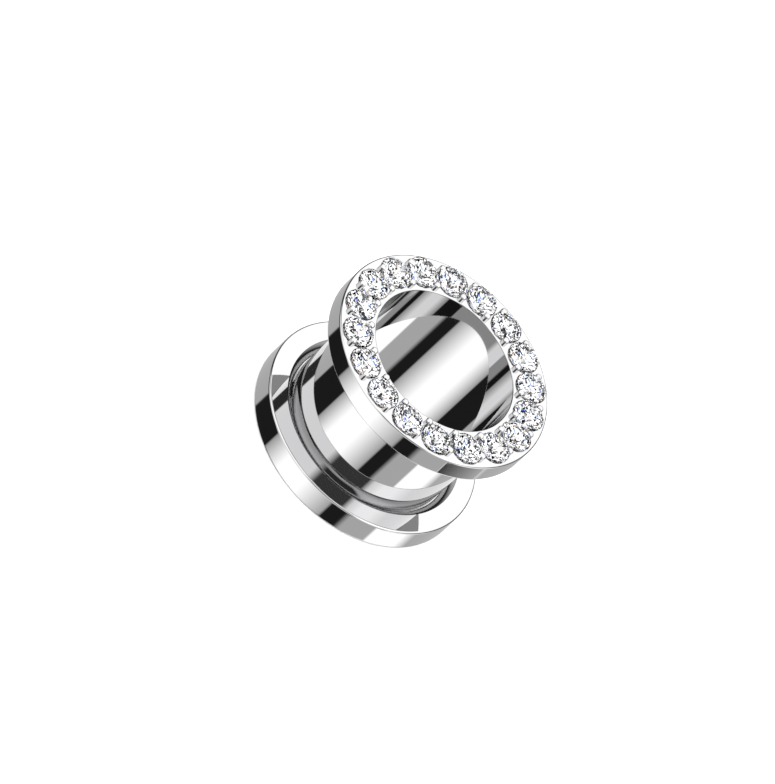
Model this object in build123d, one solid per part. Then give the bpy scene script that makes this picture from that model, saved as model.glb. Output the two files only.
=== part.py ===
from build123d import *
import math
import os

# A screw-fit ear tunnel that stands on its back flange, with its axis on Z.
# Lengths are millimetres. The origin is the centre of the back face.

# Flanges and barrel
FLANGE_RADIUS = 6.6
BARREL_RADIUS = 5.0
BORE_RADIUS = 4.35
FRONT_FLANGE_THICKNESS = 1.3
BACK_FLANGE_THICKNESS = 1.55
EAR_GAP = 5.6
FLANGE_EDGE_ROUND = 0.08
BORE_EDGE_ROUND = 0.06

# Rolled lip of the back flange, a shallow dish round the foot of the barrel
DISH_RADIUS = 5.47
DISH_DEPTH = 0.4
DISH_BULGE = 0.045
DISH_CLEARANCE = 0.04

# Thread, made as plain rings whose crests pass each other with a running clearance
THREAD_CREST_RADIUS = 4.85
THREAD_CLEARANCE = 0.05
THREAD_DEPTH = 0.13
THREAD_PITCH = 0.35
THREAD_TURNS = 3
THREAD_LEAD = 0.04
END_RECESS = 0.02

# Round brilliant-cut stones, measured against the stone's radius where a share is given
STONE_COUNT = 18
STONE_DIAMETER = 1.82
STONE_RING_RADIUS = 5.5
STONE_RISE = 0.12
GIRDLE_HEIGHT = 0.05
CROWN_SHARE = 0.3
CROWN_ANGLE = 34.5
STAR_ANGLE = 22.0
UPPER_HALF_ANGLE = 40.5
PAVILION_ANGLE = 40.8
LOWER_HALF_ANGLE = 42.3
MAIN_FACETS = 8
SEAT_CLEARANCE = 0.02

# Raised beads that hold the stones, one at the inner and one at the outer corner of each gap
BEAD_RADIUS = 0.19
BEAD_RISE = 0.14
BEAD_ROOT = 0.4
INNER_BEAD_RING = 4.75
OUTER_BEAD_RING = 5.99
INNER_BEAD_TURN = 2.2
OUTER_BEAD_TURN = -2.6

# Heights that follow from the sizes above
BACK_FACE_TOP = BACK_FLANGE_THICKNESS
FRONT_UNDERSIDE = BACK_FACE_TOP + EAR_GAP
FRONT_FACE = FRONT_UNDERSIDE + FRONT_FLANGE_THICKNESS
DISH_FLOOR = BACK_FACE_TOP - DISH_DEPTH
SHOULDER = DISH_FLOOR + DISH_CLEARANCE
STONE_RADIUS = STONE_DIAMETER / 2
STONE_PITCH = 360 / STONE_COUNT
GIRDLE_TOP = GIRDLE_HEIGHT / 2
TABLE_HEIGHT = GIRDLE_TOP + CROWN_SHARE * STONE_RADIUS
CULET_DEPTH = GIRDLE_TOP + STONE_RADIUS * math.tan(math.radians(PAVILION_ANGLE))


def turned(outline, curve=None):
    """Solid turned about Z from an outline of (radius, height) points.

    The outline closes with a straight line, or with the curve from its last point to its first.
    """
    lines = Polyline(*outline) + curve if curve else Polyline(*outline, close=True)
    return revolve(Plane.XZ * make_face(lines), axis=Axis.Z)


def circles_of(solid, radius):
    """Round edges of the solid that have the given radius and lie square to Z."""
    rings = solid.edges().filter_by(GeomType.CIRCLE)
    return rings.filter_by(lambda edge: abs(edge.radius - radius) < 0.001)


def thread_rings(crest, root, top):
    """Outline points of the thread, from its top ring down to its last one."""
    points = [(crest, top)]
    for turn in range(THREAD_TURNS):
        start = top - turn * THREAD_PITCH
        points.append((root, start - THREAD_PITCH / 2))
        points.append((crest, start - THREAD_PITCH))
    return points


def around(count, ring_radius, first_angle=0.0):
    """Places evenly spread on a ring in the front face, each turned to face outwards."""
    for index in range(count):
        angle = first_angle + index * 360 / count
        yield Pos(0, 0, FRONT_FACE) * Rot(0, 0, angle) * Pos(ring_radius, 0, 0)


def facet_plane(angle, slope, distance, height):
    """Plane of a facet: its normal leans out by slope from the pole, towards angle.

    The plane passes through the point at the given distance and height. A negative slope
    faces down, for the pavilion.
    """
    out = Vector(math.cos(math.radians(angle)), math.sin(math.radians(angle)), 0)
    lean = math.radians(abs(slope))
    up = math.copysign(1.0, slope)
    normal = out * math.sin(lean) + Vector(0, 0, up * math.cos(lean))
    return Plane(origin=out * distance + Vector(0, 0, height), z_dir=normal)


def brilliant():
    """Round brilliant with its table up and the middle of its girdle at height 0."""
    half_step = 180 / MAIN_FACETS
    girdle_flat = STONE_RADIUS * math.cos(math.radians(half_step / 2))
    table_corner = STONE_RADIUS - (TABLE_HEIGHT - GIRDLE_TOP) / math.tan(math.radians(CROWN_ANGLE))
    table_flat = table_corner * math.cos(math.radians(half_step))
    blank = extrude(RegularPolygon(STONE_RADIUS, 2 * MAIN_FACETS), TABLE_HEIGHT + CULET_DEPTH)
    stone = Pos(0, 0, -CULET_DEPTH) * blank
    planes = []
    for index in range(MAIN_FACETS):
        main = index * 2 * half_step
        planes.append(facet_plane(main, CROWN_ANGLE, STONE_RADIUS, GIRDLE_TOP))
        planes.append(facet_plane(main + half_step, STAR_ANGLE, table_flat, TABLE_HEIGHT))
        planes.append(facet_plane(main, -PAVILION_ANGLE, STONE_RADIUS, -GIRDLE_TOP))
        for side in (-1, 1):
            beside = main + side * half_step / 2
            planes.append(facet_plane(beside, UPPER_HALF_ANGLE, girdle_flat, GIRDLE_TOP))
            planes.append(facet_plane(beside, -LOWER_HALF_ANGLE, girdle_flat, -GIRDLE_TOP))
    for plane in planes:
        stone = split(stone, bisect_by=plane, keep=Keep.BOTTOM)
    return stone


def stone_seat():
    """Space that one stone takes, with its clearance, open above the table."""
    wide = STONE_RADIUS + SEAT_CLEARANCE
    table = STONE_RADIUS - (TABLE_HEIGHT - GIRDLE_TOP) / math.tan(math.radians(CROWN_ANGLE))
    top = TABLE_HEIGHT + SEAT_CLEARANCE
    return turned([
        (0, -CULET_DEPTH - 2 * SEAT_CLEARANCE),
        (wide, -GIRDLE_TOP - SEAT_CLEARANCE),
        (wide, GIRDLE_TOP + SEAT_CLEARANCE),
        (table + 2 * SEAT_CLEARANCE, top),
        (table + 2 * SEAT_CLEARANCE, top + BEAD_RISE),
        (0, top + BEAD_RISE),
    ])


def bead():
    """One raised bead with a round head, standing on the front face at height 0."""
    stem = Pos(0, 0, -BEAD_ROOT) * extrude(Circle(BEAD_RADIUS), BEAD_ROOT + BEAD_RISE)
    return stem + Pos(0, 0, BEAD_RISE) * Sphere(BEAD_RADIUS)


def gem_flange_barrel():
    """Front flange, barrel, through bore, threaded end, stone seats and beads, as one solid."""
    threaded_end = thread_rings(
        THREAD_CREST_RADIUS, THREAD_CREST_RADIUS - THREAD_DEPTH, SHOULDER - THREAD_LEAD)
    body = turned([
        (BORE_RADIUS, FRONT_FACE),
        (FLANGE_RADIUS, FRONT_FACE),
        (FLANGE_RADIUS, FRONT_UNDERSIDE),
        (BARREL_RADIUS, FRONT_UNDERSIDE),
        (BARREL_RADIUS, SHOULDER),
        (THREAD_CREST_RADIUS, SHOULDER),
        *threaded_end,
        (THREAD_CREST_RADIUS, END_RECESS),
        (BORE_RADIUS, END_RECESS),
    ])
    body = fillet(circles_of(body, FLANGE_RADIUS), FLANGE_EDGE_ROUND)
    body = fillet(circles_of(body, BORE_RADIUS), BORE_EDGE_ROUND)
    gap_angle = STONE_PITCH / 2
    beads = [
        place * bead()
        for ring, turn in ((INNER_BEAD_RING, INNER_BEAD_TURN), (OUTER_BEAD_RING, OUTER_BEAD_TURN))
        for place in around(STONE_COUNT, ring, gap_angle + turn)
    ]
    seats = [
        place * Pos(0, 0, STONE_RISE) * stone_seat()
        for place in around(STONE_COUNT, STONE_RING_RADIUS)
    ]
    return body + beads - seats


def rolled_lip(outer, inner):
    """Curve from the dish's outer edge to its inner one, raised from the straight by the bulge."""
    run, drop = outer[0] - inner[0], outer[1] - inner[1]
    slant = math.hypot(run, drop)
    middle = (
        (outer[0] + inner[0]) / 2 - DISH_BULGE * drop / slant,
        (outer[1] + inner[1]) / 2 + DISH_BULGE * run / slant,
    )
    return ThreePointArc(outer, middle, inner)


def back_flange():
    """Screw-on ring with a shallow dish round its threaded hole."""
    crest = THREAD_CREST_RADIUS + THREAD_CLEARANCE
    rings = thread_rings(crest, crest + THREAD_DEPTH, DISH_FLOOR - THREAD_LEAD)
    dish_edge = (DISH_RADIUS, BACK_FACE_TOP)
    dish_foot = (BARREL_RADIUS + DISH_CLEARANCE, DISH_FLOOR)
    ring = turned([
        dish_foot,
        (crest, DISH_FLOOR),
        *rings,
        (crest, 0),
        (FLANGE_RADIUS, 0),
        (FLANGE_RADIUS, BACK_FACE_TOP),
        dish_edge,
    ], rolled_lip(dish_edge, dish_foot))
    return fillet(circles_of(ring, FLANGE_RADIUS), FLANGE_EDGE_ROUND)


def write_parts():
    """Write one STEP file for each piece."""
    os.makedirs("parts", exist_ok=True)
    export_step(gem_flange_barrel(), "parts/gem_flange_barrel.step")
    export_step(back_flange(), "parts/back_flange.step")
    stone = brilliant()
    for number, place in enumerate(around(STONE_COUNT, STONE_RING_RADIUS), start=1):
        export_step(place * Pos(0, 0, STONE_RISE) * stone, f"parts/stone_{number:02d}.step")


write_parts()
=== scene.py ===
"""Ear tunnel: a screw-fit tube between two polished flanges, the front one set with clear stones.

The tunnel stands on its back flange with its axis on Z, as in the CAD frame. Sizes in the classes
are millimetres and angles are degrees unless a name says otherwise; each finished mesh is scaled to
metres once, when it is baked.
"""

import logging
import math
from dataclasses import dataclass
from enum import Enum
from typing import Sequence, Union

import bmesh
import bpy
from mathutils import Matrix, Vector


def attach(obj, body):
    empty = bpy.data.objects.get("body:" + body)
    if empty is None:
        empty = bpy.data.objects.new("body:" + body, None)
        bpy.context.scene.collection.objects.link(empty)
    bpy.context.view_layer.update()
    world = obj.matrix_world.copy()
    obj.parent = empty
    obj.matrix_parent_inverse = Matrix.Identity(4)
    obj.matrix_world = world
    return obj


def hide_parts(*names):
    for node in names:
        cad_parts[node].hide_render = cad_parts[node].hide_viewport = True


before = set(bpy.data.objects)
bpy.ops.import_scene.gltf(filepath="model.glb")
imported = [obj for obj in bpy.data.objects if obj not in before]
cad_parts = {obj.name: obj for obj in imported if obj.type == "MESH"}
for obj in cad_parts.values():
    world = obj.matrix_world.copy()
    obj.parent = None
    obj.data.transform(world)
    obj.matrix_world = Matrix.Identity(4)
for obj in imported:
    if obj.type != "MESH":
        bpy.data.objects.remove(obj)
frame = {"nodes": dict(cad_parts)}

LOG = logging.getLogger("ear_tunnel")
MM = 0.001
FULL_TURN = 360.0
STONE_COUNT = 18
HALF = 0.5

# Sockets that share their names with others on the same node, so they are found by number
MIX_BELOW, MIX_ABOVE, MIX_RESULT = 6, 7, 2
RANDOM_LOW, RANDOM_HIGH, RANDOM_RESULT = 2, 3, 1

Point = tuple[float, float]
Colour = tuple[float, float, float]
Value = Union[float, int, tuple[float, ...], bpy.types.NodeSocket]


class Body(Enum):
    """The CAD bodies that the pieces move with."""

    FRONT = "front"
    BACK = "back"


class Slot(Enum):
    """The record's material slot for the steel."""

    STEEL = "polished_steel"


class ThreadSide(Enum):
    """Which way a thread is cut from its crest: into a shaft, or outwards into a hole."""

    SHAFT = -1.0
    HOLE = 1.0


class Graph:
    """Adds nodes to a node tree and links them."""

    def __init__(self, tree: bpy.types.NodeTree) -> None:
        """Work on this tree."""
        self.tree = tree

    def add(self, kind: str, **settings: object) -> bpy.types.Node:
        """Add a node and set its properties.

        Args:
            kind: the node's Blender type name.
            settings: properties to set on the node.

        Returns:
            The new node.
        """
        node = self.tree.nodes.new(kind)
        for name, value in settings.items():
            setattr(node, name, value)
        return node

    def feed(self, socket: bpy.types.NodeSocket, value: Value) -> None:
        """Link a socket into this input, or set it as a plain value.

        Args:
            socket: the input to feed.
            value: a socket or a plain value.
        """
        if isinstance(value, bpy.types.NodeSocket):
            self.tree.links.new(value, socket)
        else:
            socket.default_value = value

    def math(self, operation: str, *values: Value) -> bpy.types.NodeSocket:
        """Add a math node.

        Args:
            operation: the node's operation.
            values: sockets or plain numbers for its inputs.

        Returns:
            The node's result.
        """
        node = self.add("ShaderNodeMath", operation=operation)
        for socket, value in zip(node.inputs, values):
            self.feed(socket, value)
        return node.outputs[0]

    def mix(self, share: Value, below: Value, above: Value) -> bpy.types.NodeSocket:
        """Add a mix of two colours.

        Args:
            share: how much of the second colour there is, from 0 to 1.
            below: the first colour.
            above: the second colour.

        Returns:
            The mixed colour.
        """
        node = self.add("ShaderNodeMix", data_type="RGBA")
        self.feed(node.inputs[0], share)
        self.feed(node.inputs[MIX_BELOW], below)
        self.feed(node.inputs[MIX_ABOVE], above)
        return node.outputs[MIX_RESULT]

    def port(self, name: str, kind: str, output: bool = False, default: object = None) -> None:
        """Add a named input or output to the group.

        Args:
            name: the socket's name.
            kind: its socket type.
            output: true for an output.
            default: its default value, if it has one.
        """
        way = "OUTPUT" if output else "INPUT"
        item = self.tree.interface.new_socket(name=name, in_out=way, socket_type=kind)
        if default is not None:
            item.default_value = default


@dataclass(frozen=True)
class Corner:
    """One corner of a turned outline, with the radius that rounds it off."""

    radius: float
    height: float
    rounding: float = 0.0


@dataclass
class TurnedOutline:
    """A closed outline that is turned about Z."""

    corners: Sequence[Corner]
    segments: int = 360
    arc_steps: int = 6
    support: float = 0.004
    merge: float = 1e-5

    def points(self) -> list[Point]:
        """Outline with its corners rounded.

        A rounded corner gets a support ring on either side of it, which keeps the long faces'
        normals true, so that mirror reflections on them run straight.

        Returns:
            (radius, height) points in order.
        """
        result: list[Point] = []
        count = len(self.corners)
        for index, corner in enumerate(self.corners):
            here = Vector((corner.radius, corner.height))
            if corner.rounding <= 0.0:
                result.append(tuple(here))
                continue
            before = self.corners[index - 1]
            after = self.corners[(index + 1) % count]
            back = (Vector((before.radius, before.height)) - here).normalized()
            ahead = (Vector((after.radius, after.height)) - here).normalized()
            half = math.acos(back.dot(ahead)) / 2
            reach = corner.rounding / math.tan(half)
            start, end = here + back * reach, here + ahead * reach
            middle = here + (back + ahead).normalized() * corner.rounding / math.sin(half)
            first, last = start - middle, end - middle
            turn = first.angle_signed(last)
            result.append(tuple(start + back * self.support))
            for step in range(self.arc_steps + 1):
                turned = Matrix.Rotation(-turn * step / self.arc_steps, 2) @ first
                result.append(tuple(middle + turned))
            result.append(tuple(end + ahead * self.support))
        return result

    def mesh(self, name: str) -> bpy.types.Mesh:
        """Turn the outline into a closed mesh, in millimetres.

        Args:
            name: the mesh's name.

        Returns:
            The mesh, with its normals outward.
        """
        work = bmesh.new()
        rings = []
        for radius, height in self.points():
            ring = []
            for index in range(self.segments):
                angle = math.tau * index / self.segments
                spot = (radius * math.cos(angle), radius * math.sin(angle), height)
                ring.append(work.verts.new(spot))
            rings.append(ring)
        for ring, following in zip(rings, rings[1:] + rings[:1]):
            for index in range(self.segments):
                after = (index + 1) % self.segments
                work.faces.new((ring[index], ring[after], following[after], following[index]))
        bmesh.ops.remove_doubles(work, verts=work.verts, dist=self.merge)
        bmesh.ops.recalc_face_normals(work, faces=work.faces)
        mesh = bpy.data.meshes.new(name)
        work.to_mesh(mesh)
        work.free()
        return mesh


def add_object(name: str, data: bpy.types.ID) -> bpy.types.Object:
    """Put an object in the scene.

    Args:
        name: the object's name.
        data: its mesh, light or camera.

    Returns:
        The new object.
    """
    item = bpy.data.objects.new(name, data)
    bpy.context.scene.collection.objects.link(item)
    return item


class Workpiece:
    """A mesh object in millimetres that is worked with node modifiers and then baked."""

    def __init__(self, name: str, outline: TurnedOutline) -> None:
        """Turn the outline into an object.

        Args:
            name: the object's name.
            outline: the outline to turn.
        """
        self.object = add_object(name, outline.mesh(name))

    def work(self, tree: bpy.types.NodeTree, inputs: dict[str, object]) -> None:
        """Add a node modifier, with its inputs set by their socket identifiers.

        Args:
            tree: the geometry node tree.
            inputs: values by input name.
        """
        modifier = self.object.modifiers.new(tree.name, "NODES")
        modifier.node_group = tree
        sockets = {item.name: item.identifier for item in tree.interface.items_tree
                   if item.in_out == "INPUT"}
        for name, value in inputs.items():
            modifier[sockets[name]] = value

    def bake(self, name: str, sharp_angle: float = 22.0) -> bpy.types.Object:
        """Make the finished object in metres, smooth but for its sharp edges.

        Args:
            name: the finished object's name.
            sharp_angle: edges that turn by more than this stay sharp.

        Returns:
            The finished object, at the origin and without modifiers.
        """
        depsgraph = bpy.context.evaluated_depsgraph_get()
        source = self.object.evaluated_get(depsgraph)
        mesh = bpy.data.meshes.new_from_object(source, depsgraph=depsgraph)
        mesh.name = name
        mesh.transform(Matrix.Scale(MM, 4))
        mesh.polygons.foreach_set("use_smooth", [True] * len(mesh.polygons))
        mesh.set_sharp_from_angle(angle=math.radians(sharp_angle))
        self.discard()
        return add_object(name, mesh)

    def discard(self) -> None:
        """Remove the working object."""
        bpy.data.objects.remove(self.object)


def new_material(name: str) -> tuple[bpy.types.Material, bpy.types.Node]:
    """Make a material.

    Args:
        name: the material's name.

    Returns:
        The material and its surface shader.
    """
    material = bpy.data.materials.new(name)
    material.use_nodes = True
    return material, material.node_tree.nodes["Principled BSDF"]


@dataclass(frozen=True)
class SteelFinish:
    """Mirror-polished stainless steel with a trace of the lathe's polish lines, and painted shade in
    the back flange's dish.
    """

    colour: Colour = (0.62, 0.62, 0.625)
    shade_change: float = 0.012
    roughness: float = 0.03
    roughness_change: float = 0.012
    line_spacing: float = 0.12
    line_stretch: float = 0.02
    cloud_size: float = 2.4
    # Painted shade: the dish inside the back flange's lip is darkened in the colour, most just inside
    # its edge.
    dish_radii: Point = (5.1, 5.475)
    dish_heights: Point = (1.1, 1.56)
    dish_shade: float = 0.6

    def dish_painted_shade(self, graph: Graph, place: Value) -> bpy.types.NodeSocket:
        """Add painted shade in the back flange's dish: the steel's colour darkens towards the dish's
        edge.

        Args:
            graph: the group's tree.
            place: object coordinates.

        Returns:
            Brightness from 0 to 1, lowest just inside the dish's edge.
        """
        parts = graph.add("ShaderNodeSeparateXYZ")
        graph.feed(parts.inputs[0], place)
        flat = graph.add("ShaderNodeCombineXYZ")
        graph.feed(flat.inputs[0], parts.outputs[0])
        graph.feed(flat.inputs[1], parts.outputs[1])
        length = graph.add("ShaderNodeVectorMath", operation="LENGTH")
        graph.feed(length.inputs[0], flat.outputs[0])
        radius = graph.math("MULTIPLY", length.outputs["Value"], 1.0 / MM)
        height = graph.math("MULTIPLY", parts.outputs[2], 1.0 / MM)
        inner, outer = self.dish_radii
        near_edge = graph.add("ShaderNodeMapRange")
        graph.feed(near_edge.inputs["Value"], radius)
        near_edge.inputs["From Min"].default_value = inner
        near_edge.inputs["From Max"].default_value = outer
        low, high = self.dish_heights
        within = graph.math("MULTIPLY", graph.math("LESS_THAN", radius, outer),
                            graph.math("GREATER_THAN", height, low))
        within = graph.math("MULTIPLY", within, graph.math("LESS_THAN", height, high))
        share = graph.math("MULTIPLY", within, near_edge.outputs[0])
        return graph.math("SUBTRACT", 1.0, graph.math("MULTIPLY", share, self.dish_shade))

    def polish_and_shade_group(self) -> bpy.types.NodeTree:
        """Build the shared polish effect, with the painted shade in the back flange's dish.

        Returns:
            A shader group that gives the steel's colour and roughness.
        """
        tree = bpy.data.node_groups.new("turned_polish_and_dish_shade", "ShaderNodeTree")
        graph = Graph(tree)
        graph.port("Colour", "NodeSocketColor", default=(*self.colour, 1.0))
        graph.port("Roughness", "NodeSocketFloat", default=self.roughness)
        graph.port("Colour", "NodeSocketColor", output=True)
        graph.port("Roughness", "NodeSocketFloat", output=True)
        given = graph.add("NodeGroupInput")
        result = graph.add("NodeGroupOutput")
        place = graph.add("ShaderNodeTexCoord").outputs["Object"]
        lines = graph.add("ShaderNodeMapping")
        graph.feed(lines.inputs["Vector"], place)
        around = self.line_stretch / MM
        along = 1.0 / (self.line_spacing * MM)
        lines.inputs["Scale"].default_value = (around, around, along)
        fine = graph.add("ShaderNodeTexNoise")
        graph.feed(fine.inputs["Vector"], lines.outputs[0])
        fine.inputs["Scale"].default_value = 1.0
        cloud = graph.add("ShaderNodeTexNoise")
        graph.feed(cloud.inputs["Vector"], place)
        cloud.inputs["Scale"].default_value = 1.0 / (self.cloud_size * MM)
        mixed = graph.math("ADD", fine.outputs["Fac"], cloud.outputs["Fac"])
        change = graph.math("SUBTRACT", mixed, 1.0)
        rough = graph.math("MULTIPLY_ADD", change, self.roughness_change, given.outputs["Roughness"])
        graph.feed(result.inputs["Roughness"], graph.math("MAXIMUM", rough, 0.0))
        shade = graph.add("ShaderNodeHueSaturation")
        grain = graph.math("MULTIPLY_ADD", change, self.shade_change, 1.0)
        # Painted shade: the dish's darkening is multiplied into the steel's colour.
        level = graph.math("MULTIPLY", grain, self.dish_painted_shade(graph, place))
        graph.feed(shade.inputs["Value"], level)
        graph.feed(shade.inputs["Color"], given.outputs["Colour"])
        graph.feed(result.inputs["Colour"], shade.outputs[0])
        return tree

    def material(self) -> bpy.types.Material:
        """Build the steel.

        Returns:
            The material.
        """
        material, surface = new_material("mirror_steel")
        graph = Graph(material.node_tree)
        surface.inputs["Metallic"].default_value = 1.0
        polish = graph.add("ShaderNodeGroup", node_tree=self.polish_and_shade_group())
        graph.feed(surface.inputs["Base Color"], polish.outputs["Colour"])
        graph.feed(surface.inputs["Roughness"], polish.outputs["Roughness"])
        return material


@dataclass(frozen=True)
class CrystalFinish:
    """Clear cut stone with a high refractive index and painted sparkle: dark, cool and warm specks
    painted into its colour.
    """

    refractive_index: float = 2.4
    glare: float = 0.15
    painted_sparkle_size: float = 0.13
    # Painted sparkle: the dark cells stand in for dark reflections in the facets, the cool and warm
    # ones for dispersion colours.
    painted_sparkle: tuple[tuple[float, Colour], ...] = (
        (0.0, (0.0, 0.0, 0.0)), (0.05, (1.0, 1.0, 1.0)), (0.955, (0.45, 0.6, 1.0)),
        (0.98, (1.0, 0.66, 0.5)))

    def painted_sparkle_group(self) -> bpy.types.NodeTree:
        """Build the painted sparkle.

        Returns:
            A shader group that gives a mostly clear colour with painted dark specks for dark
            reflections and painted cool and warm specks for dispersion.
        """
        tree = bpy.data.node_groups.new("stone_painted_sparkle", "ShaderNodeTree")
        graph = Graph(tree)
        graph.port("Colour", "NodeSocketColor", output=True)
        result = graph.add("NodeGroupOutput")
        place = graph.add("ShaderNodeTexCoord").outputs["Object"]
        scale = 1.0 / (self.painted_sparkle_size * MM)
        graph.feed(result.inputs["Colour"], patches(graph, place, scale, self.painted_sparkle))
        return tree

    def material(self) -> bpy.types.Material:
        """Build the stone's material.

        Returns:
            The material.
        """
        material, surface = new_material("cut_stone")
        graph = Graph(material.node_tree)
        surface.inputs["Transmission Weight"].default_value = 1.0
        surface.inputs["Roughness"].default_value = 0.0
        surface.inputs["IOR"].default_value = self.refractive_index
        surface.inputs["Specular Tint"].default_value = (self.glare, self.glare, self.glare, 1.0)
        sparkle_paint = graph.add("ShaderNodeGroup", node_tree=self.painted_sparkle_group())
        # Painted sparkle: dark and coloured specks in the stone's colour.
        graph.feed(surface.inputs["Base Color"], sparkle_paint.outputs["Colour"])
        return material


@dataclass(frozen=True)
class FloorFinish:
    """Plain pale studio floor."""

    colour: Colour = (0.93, 0.93, 0.93)
    roughness: float = 0.9

    def material(self) -> bpy.types.Material:
        """Build the floor's material.

        Returns:
            The material.
        """
        material, surface = new_material("pale_floor")
        surface.inputs["Base Color"].default_value = (*self.colour, 1.0)
        surface.inputs["Roughness"].default_value = self.roughness
        surface.inputs["Specular IOR Level"].default_value = 0.0
        return material


def fill_ramp(ramp: bpy.types.Node, stops: Sequence[tuple[float, Colour]]) -> None:
    """Give a colour ramp these stops.

    Args:
        ramp: the colour ramp node.
        stops: (position from 0 to 1, colour), in order.
    """
    elements = ramp.color_ramp.elements
    while len(elements) > 1:
        elements.remove(elements[-1])
    for index, (position, colour) in enumerate(stops):
        element = elements[0] if index == 0 else elements.new(position)
        element.position = position
        element.color = (*colour, 1.0)


def patches(graph: Graph, place: Value, scale: float,
            stops: Sequence[tuple[float, Colour]]) -> bpy.types.NodeSocket:
    """Add cells that each take one of the colours at random.

    Args:
        graph: the tree.
        place: the position or direction that the cells divide.
        scale: cells along one unit of it.
        stops: (share from 0 to 1 where a colour starts, colour), in order.

    Returns:
        The cells' colour.
    """
    cells = graph.add("ShaderNodeTexVoronoi")
    graph.feed(cells.inputs["Vector"], place)
    graph.feed(cells.inputs["Scale"], scale)
    pick = graph.add("ShaderNodeSeparateColor")
    graph.feed(pick.inputs[0], cells.outputs["Color"])
    ramp = graph.add("ShaderNodeValToRGB")
    ramp.color_ramp.interpolation = "CONSTANT"
    fill_ramp(ramp, stops)
    graph.feed(ramp.inputs[0], pick.outputs[0])
    return ramp.outputs[0]


@dataclass(frozen=True)
class ThreadSize:
    """A helical thread, cut between two heights from a crest radius."""

    crest: float
    top: float
    side: ThreadSide
    depth: float = 0.13
    pitch: float = 0.35
    turns: int = 3
    run_in: float = 0.12
    rings_per_turn: int = 24

    @property
    def bottom(self) -> float:
        """Height where the thread ends."""
        return self.top - self.pitch * self.turns

    def ring_corners(self) -> list[Corner]:
        """Plain rings, from the top down, that the thread is cut from."""
        count = self.turns * self.rings_per_turn
        step = (self.top - self.bottom) / count
        return [Corner(self.crest, self.top - index * step) for index in range(count + 1)]


class ThreadTree:
    """Geometry nodes that cut a helical thread into a piece's crest surface."""

    TOLERANCE = 0.002

    def __init__(self, finish: bpy.types.Material) -> None:
        """Build the tree.

        Args:
            finish: the material that the piece leaves with.
        """
        self.tree = bpy.data.node_groups.new("helical_thread", "GeometryNodeTree")
        self.tree.is_modifier = True
        graph = Graph(self.tree)
        graph.port("Geometry", "NodeSocketGeometry")
        for name in ("Crest Radius", "Depth", "Pitch", "Top", "Bottom", "Run In", "Side"):
            graph.port(name, "NodeSocketFloat")
        graph.port("Geometry", "NodeSocketGeometry", output=True)
        given = graph.add("NodeGroupInput").outputs
        parts = graph.add("ShaderNodeSeparateXYZ")
        graph.feed(parts.inputs[0], graph.add("GeometryNodeInputPosition").outputs[0])
        across, along, height = parts.outputs
        radius = graph.math("SQRT", graph.math(
            "ADD", graph.math("MULTIPLY", across, across), graph.math("MULTIPLY", along, along)))
        turned = graph.math("DIVIDE", graph.math("ARCTAN2", along, across), math.tau)
        phase = graph.math("SUBTRACT", graph.math("DIVIDE", height, given["Pitch"]), turned)
        swing = graph.math("COSINE", graph.math("MULTIPLY", phase, math.tau))
        wave = graph.math("MULTIPLY_ADD", swing, -HALF, HALF)
        fade = graph.math(
            "MULTIPLY",
            self.run_in(graph, graph.math("SUBTRACT", given["Top"], height), given["Run In"]),
            self.run_in(graph, graph.math("SUBTRACT", height, given["Bottom"]), given["Run In"]))
        cut = graph.math("MULTIPLY", graph.math("MULTIPLY", wave, fade), given["Depth"])
        share = graph.math("DIVIDE", graph.math("MULTIPLY", cut, given["Side"]), radius)
        offset = graph.add("ShaderNodeCombineXYZ")
        graph.feed(offset.inputs[0], graph.math("MULTIPLY", across, share))
        graph.feed(offset.inputs[1], graph.math("MULTIPLY", along, share))
        on_crest = graph.add("FunctionNodeCompare", operation="EQUAL")
        graph.feed(on_crest.inputs[0], radius)
        graph.feed(on_crest.inputs[1], given["Crest Radius"])
        graph.feed(on_crest.inputs["Epsilon"], self.TOLERANCE)
        move = graph.add("GeometryNodeSetPosition")
        graph.feed(move.inputs["Geometry"], given["Geometry"])
        graph.feed(move.inputs["Selection"], on_crest.outputs[0])
        graph.feed(move.inputs["Offset"], offset.outputs[0])
        finish_tree(graph, move.outputs[0], finish)

    @staticmethod
    def run_in(graph: Graph, depth: Value, length: Value) -> bpy.types.NodeSocket:
        """Fade that grows from 0 at the thread's end to 1 past its run-in.

        Args:
            graph: the tree to add to.
            depth: distance from the thread's end.
            length: length of the run-in.

        Returns:
            The fade.
        """
        node = graph.add("ShaderNodeMapRange", interpolation_type="SMOOTHSTEP")
        graph.feed(node.inputs["Value"], depth)
        graph.feed(node.inputs["From Min"], 0.0)
        graph.feed(node.inputs["From Max"], length)
        return node.outputs[0]

    def cut(self, piece: Workpiece, size: ThreadSize) -> None:
        """Cut a thread of this size into the piece.

        Args:
            piece: the piece, which has the thread's plain rings.
            size: the thread.
        """
        piece.work(self.tree, {
            "Crest Radius": size.crest, "Depth": size.depth, "Pitch": size.pitch, "Top": size.top,
            "Bottom": size.bottom, "Run In": size.run_in, "Side": size.side.value})


def finish_tree(graph: Graph, shape: bpy.types.NodeSocket, finish: bpy.types.Material) -> None:
    """End a geometry tree: realize its instances and set the material.

    Args:
        graph: the tree.
        shape: the geometry to finish.
        finish: the material to set.
    """
    real = graph.add("GeometryNodeRealizeInstances")
    graph.feed(real.inputs[0], shape)
    painted = graph.add("GeometryNodeSetMaterial")
    graph.feed(painted.inputs["Geometry"], real.outputs[0])
    painted.inputs["Material"].default_value = finish
    graph.feed(graph.add("NodeGroupOutput").inputs[0], painted.outputs[0])


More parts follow.
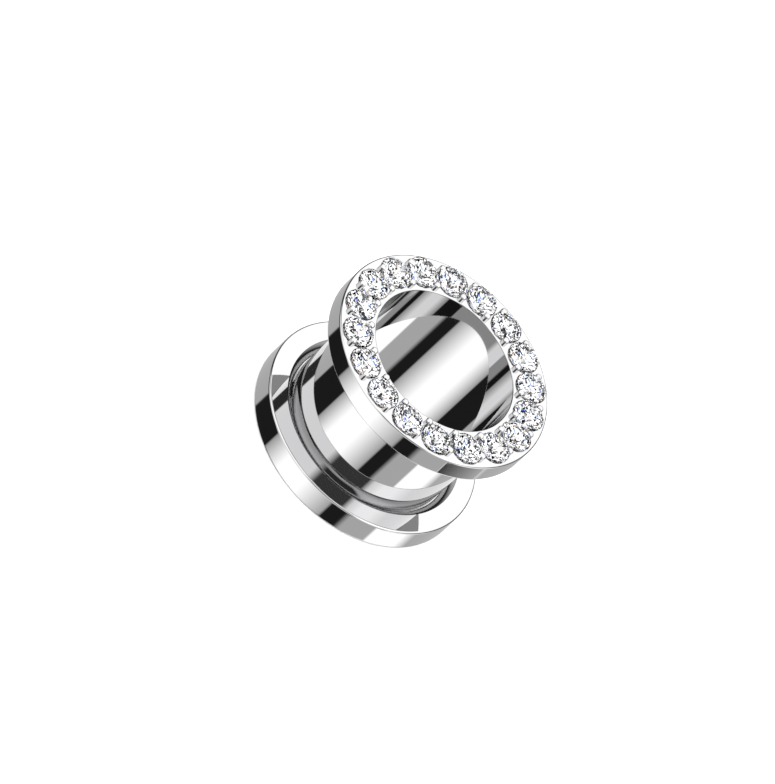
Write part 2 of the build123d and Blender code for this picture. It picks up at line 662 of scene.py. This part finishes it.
class RingGroup:
    """Geometry nodes that stand copies of one object on a ring."""

    MEASURES = ("Ring Radius", "Height", "First Angle", "Lean", "Size Change")

    def __init__(self) -> None:
        """Build the group."""
        self.tree = bpy.data.node_groups.new("ring_of_copies", "GeometryNodeTree")
        graph = Graph(self.tree)
        graph.port("Item", "NodeSocketObject")
        graph.port("Count", "NodeSocketInt", default=STONE_COUNT)
        for name in self.MEASURES:
            graph.port(name, "NodeSocketFloat")
        graph.port("Seed", "NodeSocketInt", default=0)
        graph.port("Copies", "NodeSocketGeometry", output=True)
        given = graph.add("NodeGroupInput").outputs
        index = graph.add("GeometryNodeInputIndex").outputs[0]
        step = graph.math("DIVIDE", math.tau, given["Count"])
        first = graph.math("RADIANS", given["First Angle"])
        angle = graph.math("MULTIPLY_ADD", index, step, first)
        spot = graph.add("ShaderNodeCombineXYZ")
        radius = given["Ring Radius"]
        graph.feed(spot.inputs[0], graph.math("MULTIPLY", graph.math("COSINE", angle), radius))
        graph.feed(spot.inputs[1], graph.math("MULTIPLY", graph.math("SINE", angle), radius))
        graph.feed(spot.inputs[2], given["Height"])
        points = graph.add("GeometryNodePoints")
        graph.feed(points.inputs["Count"], given["Count"])
        graph.feed(points.inputs["Position"], spot.outputs[0])
        item = graph.add("GeometryNodeObjectInfo", transform_space="ORIGINAL")
        graph.feed(item.inputs["Object"], given["Item"])
        turn = graph.add("ShaderNodeCombineXYZ")
        graph.feed(turn.inputs[1], graph.math("RADIANS", given["Lean"]))
        graph.feed(turn.inputs[2], angle)
        vary = graph.add("FunctionNodeRandomValue", data_type="FLOAT")
        change = given["Size Change"]
        graph.feed(vary.inputs[RANDOM_LOW], graph.math("SUBTRACT", 1.0, change))
        graph.feed(vary.inputs[RANDOM_HIGH], graph.math("ADD", 1.0, change))
        graph.feed(vary.inputs["Seed"], given["Seed"])
        copies = graph.add("GeometryNodeInstanceOnPoints")
        graph.feed(copies.inputs["Points"], points.outputs[0])
        graph.feed(copies.inputs["Instance"], item.outputs["Geometry"])
        graph.feed(copies.inputs["Rotation"], turn.outputs[0])
        graph.feed(copies.inputs["Scale"], vary.outputs[RANDOM_RESULT])
        graph.feed(graph.add("NodeGroupOutput").inputs[0], copies.outputs[0])


class SettingTree:
    """Geometry nodes that raise the beads on the front face and sink the stones' seats."""

    RINGS = ("Inner Bead", "Outer Bead", "Seat")

    def __init__(self, ring: RingGroup, finish: bpy.types.Material) -> None:
        """Build the tree.

        Args:
            ring: the group that stands copies on a ring.
            finish: the material that the piece leaves with.
        """
        self.tree = bpy.data.node_groups.new("bead_setting", "GeometryNodeTree")
        self.tree.is_modifier = True
        graph = Graph(self.tree)
        graph.port("Geometry", "NodeSocketGeometry")
        graph.port("Count", "NodeSocketInt", default=STONE_COUNT)
        graph.port("Seed", "NodeSocketInt", default=0)
        for name in self.RINGS:
            graph.port(f"{name} Item", "NodeSocketObject")
            for measure in RingGroup.MEASURES:
                graph.port(f"{name} {measure}", "NodeSocketFloat")
        graph.port("Geometry", "NodeSocketGeometry", output=True)
        given = graph.add("NodeGroupInput").outputs
        rings = {name: self.ring(graph, ring, given, name) for name in self.RINGS}
        raised = graph.add("GeometryNodeJoinGeometry")
        for shape in (rings["Outer Bead"], rings["Inner Bead"], given["Geometry"]):
            graph.feed(raised.inputs[0], shape)
        solid = graph.add("GeometryNodeRealizeInstances")
        graph.feed(solid.inputs[0], raised.outputs[0])
        sunk = graph.add("GeometryNodeMeshBoolean", operation="DIFFERENCE", solver="EXACT")
        sunk.inputs["Self Intersection"].default_value = True
        graph.feed(sunk.inputs["Mesh 1"], solid.outputs[0])
        graph.feed(sunk.inputs["Mesh 2"], rings["Seat"])
        finish_tree(graph, sunk.outputs[0], finish)

    @staticmethod
    def ring(graph: Graph, ring: RingGroup, given: object, name: str) -> bpy.types.NodeSocket:
        """Add one ring of copies, fed from the tree's inputs of that name.

        Args:
            graph: the tree.
            ring: the group that stands copies on a ring.
            given: the tree's input sockets.
            name: the ring's name.

        Returns:
            The copies.
        """
        node = graph.add("GeometryNodeGroup", node_tree=ring.tree)
        for socket in node.inputs:
            shared = socket.name in ("Count", "Seed")
            graph.feed(socket, given[socket.name if shared else f"{name} {socket.name}"])
        return node.outputs[0]


@dataclass(frozen=True)
class BeadSize:
    """One raised bead: a short round stem with a domed head."""

    radius: float = 0.2
    top: float = 0.27
    rounding: float = 0.1
    root: float = 0.3
    segments: int = 36

    def outline(self) -> TurnedOutline:
        """Outline of the bead, with the front face at height 0."""
        return TurnedOutline([
            Corner(0.0, -self.root),
            Corner(self.radius, -self.root),
            Corner(self.radius, self.top, self.rounding),
            Corner(0.0, self.top),
        ], segments=self.segments)


@dataclass(frozen=True)
class SeatSize:
    """Space cut for one stone, with the middle of the stone's girdle at height 0."""

    wide: float = 0.945
    depth: float = 0.8505
    girdle: float = 0.045
    straight: float = 0.2
    table: float = 0.552
    top: float = 0.318
    clearance_above: float = 0.3
    segments: int = 64

    def outline(self) -> TurnedOutline:
        """Outline of the space."""
        roof = self.top + self.clearance_above
        return TurnedOutline([
            Corner(0.0, -self.depth),
            Corner(self.wide, -self.straight),
            Corner(self.wide, self.girdle),
            Corner(self.table, self.top),
            Corner(self.table, roof),
            Corner(0.0, roof),
        ], segments=self.segments)


@dataclass(frozen=True)
class RingPlace:
    """Where a ring of copies stands."""

    ring_radius: float
    height: float
    first_angle: float
    lean: float = 0.0
    size_change: float = 0.0

    def inputs(self, name: str, item: Workpiece) -> dict[str, object]:
        """Modifier inputs for the ring of that name.

        Args:
            name: the ring's name in the setting tree.
            item: what stands on the ring.

        Returns:
            Values by input name.
        """
        return {
            f"{name} Item": item.object,
            f"{name} Ring Radius": self.ring_radius,
            f"{name} Height": self.height,
            f"{name} First Angle": self.first_angle,
            f"{name} Lean": self.lean,
            f"{name} Size Change": self.size_change,
        }


@dataclass(frozen=True)
class FrontSize:
    """Front flange, barrel, bore and threaded end."""

    face: float = 8.45
    underside: float = 7.15
    shoulder: float = 1.19
    end: float = 0.02
    flange: float = 6.6
    barrel: float = 5.0
    bore: float = 4.35
    flange_edge: float = 0.12
    bore_edge: float = 0.06
    end_edge: float = 0.05
    thread: ThreadSize = ThreadSize(crest=4.85, top=1.15, side=ThreadSide.SHAFT)
    stone_count: int = STONE_COUNT
    bead: BeadSize = BeadSize()
    seat: SeatSize = SeatSize()
    inner_beads: RingPlace = RingPlace(4.75, 8.45, 12.2, size_change=0.03)
    outer_beads: RingPlace = RingPlace(5.99, 8.45, 7.4, size_change=0.03)
    seats: RingPlace = RingPlace(5.5, 8.57, 0.0)
    seed: int = 7

    def outline(self) -> TurnedOutline:
        """Outline of the front piece."""
        return TurnedOutline([
            Corner(self.bore, self.face, self.bore_edge),
            Corner(self.flange, self.face, self.flange_edge),
            Corner(self.flange, self.underside, self.flange_edge),
            Corner(self.barrel, self.underside),
            Corner(self.barrel, self.shoulder),
            Corner(self.thread.crest, self.shoulder),
            *self.thread.ring_corners(),
            Corner(self.thread.crest, self.end, self.end_edge),
            Corner(self.bore, self.end, self.end_edge),
        ])


class FrontPiece:
    """The machined front piece: flange, barrel, bore, thread, beads and seats."""

    NODE = "gem_flange_barrel"

    def __init__(self, size: FrontSize) -> None:
        """Keep the size."""
        self.size = size

    def build(self, threads: ThreadTree, setting: SettingTree) -> bpy.types.Object:
        """Build the piece in place.

        Args:
            threads: cuts the thread.
            setting: raises the beads and sinks the seats.

        Returns:
            The finished piece.
        """
        size = self.size
        piece = Workpiece("front_work", size.outline())
        bead = Workpiece("bead_work", size.bead.outline())
        seat = Workpiece("seat_work", size.seat.outline())
        threads.cut(piece, size.thread)
        piece.work(setting.tree, {
            "Count": size.stone_count,
            "Seed": size.seed,
            **size.inner_beads.inputs("Inner Bead", bead),
            **size.outer_beads.inputs("Outer Bead", bead),
            **size.seats.inputs("Seat", seat),
        })
        self.object = piece.bake("front_flange_and_barrel")
        bead.discard()
        seat.discard()
        return self.object

    def dress(self) -> None:
        """Stand for the CAD's front piece and ride with it."""
        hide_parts(self.NODE)
        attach(self.object, Body.FRONT.value)


@dataclass(frozen=True)
class BackSize:
    """Screw-on back flange, with a rolled lip round its threaded hole."""

    face: float = 1.55
    flange: float = 6.6
    flange_edge: float = 0.12
    lip: float = 5.47
    foot: float = 5.04
    floor: float = 1.15
    bulge: float = 0.045
    lip_steps: int = 14
    end_edge: float = 0.04
    thread: ThreadSize = ThreadSize(crest=4.9, top=1.11, side=ThreadSide.HOLE)

    def lip_corners(self) -> list[Corner]:
        """Corners of the rolled lip, from its foot up to the flange's face."""
        run, rise = self.lip - self.foot, self.face - self.floor
        slant = math.hypot(run, rise)
        corners = []
        for step in range(self.lip_steps + 1):
            share = step / self.lip_steps
            raised = 4 * self.bulge * share * (1 - share) / slant
            corners.append(Corner(
                self.foot + run * share - rise * raised, self.floor + rise * share + run * raised))
        return corners

    def outline(self) -> TurnedOutline:
        """Outline of the back flange."""
        return TurnedOutline([
            Corner(self.flange, 0.0, self.flange_edge),
            Corner(self.flange, self.face, self.flange_edge),
            *reversed(self.lip_corners()),
            Corner(self.thread.crest, self.floor),
            *self.thread.ring_corners(),
            Corner(self.thread.crest, 0.0, self.end_edge),
        ])


class BackFlange:
    """The screw-on back flange that the tunnel stands on."""

    NODE = "back_flange"

    def __init__(self, size: BackSize) -> None:
        """Keep the size."""
        self.size = size

    def build(self, threads: ThreadTree) -> bpy.types.Object:
        """Build the flange in place.

        Args:
            threads: cuts the thread.

        Returns:
            The finished flange.
        """
        piece = Workpiece("back_work", self.size.outline())
        threads.cut(piece, self.size.thread)
        self.object = piece.bake("back_flange_ring")
        return self.object

    def dress(self) -> None:
        """Stand for the CAD's back flange and ride with it."""
        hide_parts(self.NODE)
        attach(self.object, Body.BACK.value)


class StoneRing:
    """The cut stones, which are the CAD's own exact solids."""

    PREFIX = "stone_"

    def __init__(self, nodes: dict[str, bpy.types.Object]) -> None:
        """Find the stones among the CAD's nodes."""
        self.stones = [node for name, node in sorted(nodes.items()) if name.startswith(self.PREFIX)]

    def dress(self, finish: bpy.types.Material) -> None:
        """Give each stone the crystal finish.

        Args:
            finish: the stone's material.
        """
        for stone in self.stones:
            stone.data.materials.clear()
            stone.data.materials.append(finish)


@dataclass(frozen=True)
class LightCard:
    """Soft box or flag of the studio, given by the compass angles of its two edges.

    Angles run from the camera's side towards +X. Each edge fades into what lies behind the card.
    """

    start: float
    end: float
    brightness: float
    start_fade: float = 2.0
    end_fade: float = 2.0


@dataclass(frozen=True)
class SideFlag:
    """Narrow flag beside the tunnel, below the floor, which only mirrors see.

    It shades the front flange's rim from the second soft box. Its glow rises evenly from the
    dark edge, where it starts, to the light edge, where it ends.
    """

    start: float = 68.0
    end: float = 106.0
    dark: float = 0.04
    light: float = 0.36
    distance: float = 30.0
    bottom: float = -17.4
    top: float = -13.5
    segments: int = 24


@dataclass(frozen=True)
class StudioSize:
    """Plain light studio: a grey surround with soft boxes and flags, under a white ceiling.

    The surround is what upright polished walls mirror, and the ceiling is what the level faces
    mirror. The dark horizon between them draws a fine line along each rounded edge. The stones see
    the sparkle, small bright, dark and coloured patches that their facets break up.
    """

    surround: float = 0.36
    surround_cards: tuple[LightCard, ...] = (
        LightCard(-103, -57, 0.01),
        LightCard(-56, 24, 1.0, start_fade=22.0, end_fade=30.0),
        LightCard(24.5, 48, 0.01, end_fade=6.0),
        LightCard(75, 122, 1.0, end_fade=14.0),
    )
    ceiling: float = 1.0
    ceiling_cards: tuple[LightCard, ...] = (
        LightCard(-141, -111, 0.03),
        LightCard(-12, 53, 0.05, start_fade=11.0, end_fade=8.0),
        LightCard(54, 104, 1.3, start_fade=12.0, end_fade=20.0),
    )
    horizon: float = 0.04
    horizon_cards: tuple[LightCard, ...] = (
        LightCard(-100, 100, 0.55, start_fade=22.0, end_fade=22.0),
    )
    wall_edge: Point = (-0.14, -0.3)
    face_edge: Point = (0.27, 0.52)
    zenith: Colour = (1.0, 1.0, 1.0)
    zenith_edge: Point = (0.8, 0.9)
    sparkle: tuple[tuple[float, Colour], ...] = (
        (0.0, (0.0, 0.0, 0.0)), (0.22, (0.15, 0.3, 0.85)), (0.24, (0.9, 0.45, 0.25)),
        (0.26, (1.0, 1.0, 1.0)))
    sparkle_scale: float = 3.2
    strength: float = 1.62
    background: Colour = (1.0, 1.0, 1.0)
    floor_width: float = 4000.0
    lamp_height: float = 700.0
    lamp_width: float = 900.0
    lamp_power: float = 4.0
    side_flag: SideFlag = SideFlag()


class Studio:
    """World, floor, lamp and side flag."""

    def __init__(self, size: StudioSize) -> None:
        """Keep the size."""
        self.size = size

    @staticmethod
    def compass(graph: Graph, x: Value, y: Value) -> bpy.types.NodeSocket:
        """Add the compass angle round the axis, mapped to 0 to 1.

        Args:
            graph: the tree.
            x: position or direction along X.
            y: position or direction along Y.

        Returns:
            The angle.
        """
        angle = graph.math("ARCTAN2", x, graph.math("MULTIPLY", y, -1.0))
        return graph.math("MULTIPLY_ADD", angle, 1.0 / math.tau, 0.5)

    @staticmethod
    def levels(graph: Graph, turn: Value, stops: Sequence[Point]) -> bpy.types.NodeSocket:
        """Add brightness round the compass.

        Args:
            graph: the tree.
            turn: compass angle, mapped to 0 to 1.
            stops: (angle, brightness) in order.

        Returns:
            The brightness as a colour.
        """
        ramp = graph.add("ShaderNodeValToRGB")
        half = FULL_TURN / 2
        fill_ramp(ramp, [((angle + half) / FULL_TURN, (level,) * 3) for angle, level in stops])
        graph.feed(ramp.inputs[0], turn)
        return ramp.outputs[0]

    def ring(self, graph: Graph, turn: Value, base: float,
             cards: Sequence[LightCard]) -> bpy.types.NodeSocket:
        """Add a ring of cards before an even ground.

        Args:
            graph: the tree.
            turn: compass angle, mapped to 0 to 1.
            base: brightness of the ground.
            cards: the cards in order.

        Returns:
            The ring's colour.
        """
        stops = [(-FULL_TURN / 2, base)]
        for card in cards:
            stops.append((card.start, base))
            stops.append((card.start + card.start_fade, card.brightness))
            stops.append((card.end - card.end_fade, card.brightness))
            stops.append((card.end, base))
        return self.levels(graph, turn, stops)

    @staticmethod
    def blend(graph: Graph, value: Value, edge: Point, below: Value,
              above: Value) -> bpy.types.NodeSocket:
        """Mix two colours over a soft edge in a value.

        Args:
            graph: the world's tree.
            value: the value that decides.
            edge: where the mix starts and ends.
            below: the colour before the edge.
            above: the colour past the edge.

        Returns:
            The mixed colour.
        """
        share = graph.add("ShaderNodeMapRange")
        graph.feed(share.inputs["Value"], value)
        graph.feed(share.inputs["From Min"], edge[0])
        graph.feed(share.inputs["From Max"], edge[1])
        return graph.mix(share.outputs[0], below, above)

    def build_world(self) -> None:
        """Build the light studio, plain white where the camera sees it directly."""
        size = self.size
        world = bpy.data.worlds.new("studio")
        bpy.context.scene.world = world
        world.use_nodes = True
        world.node_tree.nodes.clear()
        graph = Graph(world.node_tree)
        direction = graph.add("ShaderNodeTexCoord").outputs["Generated"]
        parts = graph.add("ShaderNodeSeparateXYZ")
        graph.feed(parts.inputs[0], direction)
        turn = self.compass(graph, parts.outputs[0], parts.outputs[1])
        height = parts.outputs[2]
        horizon = self.ring(graph, turn, size.horizon, size.horizon_cards)
        surround = self.ring(graph, turn, size.surround, size.surround_cards)
        ceiling = self.ring(graph, turn, size.ceiling, size.ceiling_cards)
        walls = self.blend(graph, height, size.wall_edge, horizon, surround)
        faces = self.blend(graph, height, size.face_edge, walls, ceiling)
        studio = self.blend(graph, height, size.zenith_edge, faces, (*size.zenith, 1.0))
        paths = graph.add("ShaderNodeLightPath")
        through = paths.outputs["Is Transmission Ray"]
        sparkle = patches(graph, direction, size.sparkle_scale, size.sparkle)
        lit = graph.add("ShaderNodeBackground")
        graph.feed(lit.inputs["Color"], graph.mix(through, studio, sparkle))
        graph.feed(lit.inputs["Strength"], size.strength)
        plain = graph.add("ShaderNodeBackground")
        plain.inputs["Color"].default_value = (*size.background, 1.0)
        seen = graph.add("ShaderNodeMixShader")
        graph.feed(seen.inputs[0], paths.outputs["Is Camera Ray"])
        graph.feed(seen.inputs[1], lit.outputs[0])
        graph.feed(seen.inputs[2], plain.outputs[0])
        graph.feed(graph.add("ShaderNodeOutputWorld").inputs[0], seen.outputs[0])

    def flag_material(self) -> bpy.types.Material:
        """Build the side flag's glow, which rises evenly from its dark edge to its light one.

        Returns:
            The material.
        """
        flag = self.size.side_flag
        material, surface = new_material("side_flag")
        graph = Graph(material.node_tree)
        parts = graph.add("ShaderNodeSeparateXYZ")
        graph.feed(parts.inputs[0], graph.add("ShaderNodeTexCoord").outputs["Object"])
        turn = self.compass(graph, parts.outputs[0], parts.outputs[1])
        glow = self.levels(graph, turn, [(flag.start, flag.dark), (flag.end, flag.light)])
        surface.inputs["Base Color"].default_value = (0.0, 0.0, 0.0, 1.0)
        surface.inputs["Specular IOR Level"].default_value = 0.0
        surface.inputs["Emission Strength"].default_value = self.size.strength
        graph.feed(surface.inputs["Emission Color"], glow)
        return material

    def build_side_flag(self) -> None:
        """Build the side flag, seen only in mirrors."""
        flag = self.size.side_flag
        corners = []
        for step in range(flag.segments + 1):
            angle = math.radians(flag.start + (flag.end - flag.start) * step / flag.segments)
            across, back = flag.distance * math.sin(angle) * MM, -flag.distance * math.cos(angle) * MM
            corners += [(across, back, flag.bottom * MM), (across, back, flag.top * MM)]
        faces = [(2 * k, 2 * k + 1, 2 * k + 3, 2 * k + 2) for k in range(flag.segments)]
        mesh = bpy.data.meshes.new("side_flag")
        mesh.from_pydata(corners, [], faces)
        mesh.materials.append(self.flag_material())
        card = add_object("side_flag", mesh)
        card.visible_camera = False
        card.visible_diffuse = False
        card.visible_transmission = False
        card.visible_shadow = False

    def build_floor(self, finish: bpy.types.Material) -> None:
        """Build the floor that the tunnel stands on, left out of the mirrors' reflections.

        Args:
            finish: the floor's material.
        """
        half = self.size.floor_width * MM / 2
        mesh = bpy.data.meshes.new("floor")
        corners = [(-half, -half, 0.0), (half, -half, 0.0), (half, half, 0.0), (-half, half, 0.0)]
        mesh.from_pydata(corners, [], [(0, 1, 2, 3)])
        mesh.materials.append(finish)
        floor = add_object("floor", mesh)
        floor.visible_glossy = False
        floor.visible_transmission = False

    def build_lamp(self) -> None:
        """Build the soft lamp overhead, left out of the mirrors' reflections."""
        size = self.size
        light = bpy.data.lights.new("soft_overhead", "AREA")
        light.shape = "DISK"
        light.size = size.lamp_width * MM
        light.energy = size.lamp_power
        lamp = add_object("soft_overhead", light)
        lamp.location = (0.0, 0.0, size.lamp_height * MM)
        lamp.visible_glossy = False
        lamp.visible_transmission = False


@dataclass(frozen=True)
class CameraSize:
    """Camera as in the photograph: a long lens, above the tunnel and rolled to one side."""

    elevation: float = 41.6
    roll: float = 47.0
    aim_height: float = 8.45
    aim_across: float = -0.847
    aim_up: float = -3.363
    frame_height: float = 41.55
    lens: float = 600.0
    sensor: float = 36.0
    far_clip: float = 10.0


class PhotoCamera:
    """The camera that takes the main picture."""

    def __init__(self, size: CameraSize) -> None:
        """Keep the size."""
        self.size = size

    def build(self) -> None:
        """Build the camera and make it the scene's own."""
        size = self.size
        lift, roll = math.radians(size.elevation), math.radians(size.roll)
        side = Vector((1.0, 0.0, 0.0))
        rise = Vector((0.0, math.sin(lift), math.cos(lift)))
        towards = Vector((0.0, -math.cos(lift), math.sin(lift)))
        right = side * math.cos(roll) + rise * math.sin(roll)
        up = rise * math.cos(roll) - side * math.sin(roll)
        aim = Vector((0.0, 0.0, size.aim_height)) + side * size.aim_across + rise * size.aim_up
        distance = size.lens / size.sensor * size.frame_height
        place = (aim + towards * distance) * MM
        data = bpy.data.cameras.new("photo_camera")
        data.lens = size.lens
        data.sensor_width = size.sensor
        data.clip_end = size.far_clip
        camera = add_object("photo_camera", data)
        turned = Matrix((right, up, towards)).transposed().to_4x4()
        camera.matrix_world = Matrix.Translation(place) @ turned
        bpy.context.scene.camera = camera


@dataclass(frozen=True)
class LightPaths:
    """How far light is followed through the stones and between the mirrors."""

    glossy: int = 12
    transmission: int = 16
    total: int = 24

    def apply(self) -> None:
        """Set the scene's light paths and its plain colour response."""
        scene = bpy.context.scene
        scene.cycles.max_bounces = self.total
        scene.cycles.glossy_bounces = self.glossy
        scene.cycles.transmission_bounces = self.transmission
        scene.view_settings.view_transform = "Standard"


def main() -> None:
    """Build the tunnel, the studio and the camera."""
    logging.basicConfig(level=logging.INFO, format="%(name)s: %(message)s")
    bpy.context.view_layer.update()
    LightPaths().apply()
    PhotoCamera(CameraSize()).build()
    steel = SteelFinish().material()
    threads = ThreadTree(steel)
    setting = SettingTree(RingGroup(), steel)
    front = FrontPiece(FrontSize())
    front.build(threads, setting)
    front.dress()
    LOG.info("front piece: %d faces", len(front.object.data.polygons))
    back = BackFlange(BackSize())
    back.build(threads)
    back.dress()
    LOG.info("back flange: %d faces", len(back.object.data.polygons))
    stones = StoneRing(frame["nodes"])
    stones.dress(CrystalFinish().material())
    LOG.info("stones: %d", len(stones.stones))
    studio = Studio(StudioSize())
    studio.build_world()
    studio.build_floor(FloorFinish().material())
    studio.build_lamp()
    studio.build_side_flag()
    LOG.info("studio built")


if __name__ == "__main__":
    main()
